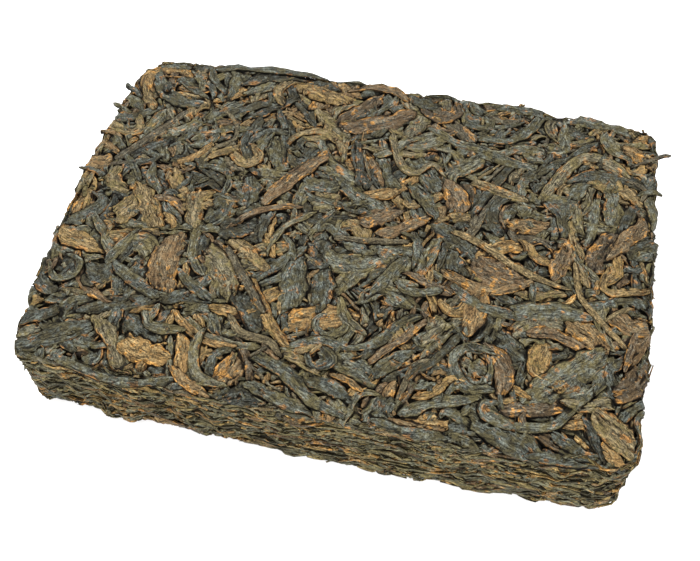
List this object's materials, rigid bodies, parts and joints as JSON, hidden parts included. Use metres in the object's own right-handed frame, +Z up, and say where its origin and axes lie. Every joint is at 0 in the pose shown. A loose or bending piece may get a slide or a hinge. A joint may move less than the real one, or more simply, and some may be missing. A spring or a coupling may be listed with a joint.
{
  "type": "pu erh tea brick",
  "caption": "Rectangular brick of dark fermented tea, leaves and stems pressed flat on both faces, with thin layers at its sides.",
  "frame": {"origin": "centre of the underside's bounding rectangle, on the surface that the brick lies on", "axes": "+X along the brick's length, +Y across it towards its back, +Z up through its thickness"},
  "size_m": [0.142, 0.098, 0.024],
  "materials": {
    "pressed_tea": "dry matt compressed leaf, dark brown to charcoal",
    "dark_leaf": "dry matt leaf with a faint sheen, charcoal and olive brown",
    "brown_leaf": "dry matt leaf, red brown to golden brown",
    "stem": "dry ribbed bark, grey brown"
  },
  "bodies": {
    "root": {"tea_brick": "pressed_tea"}
  },
  "joints": []
}
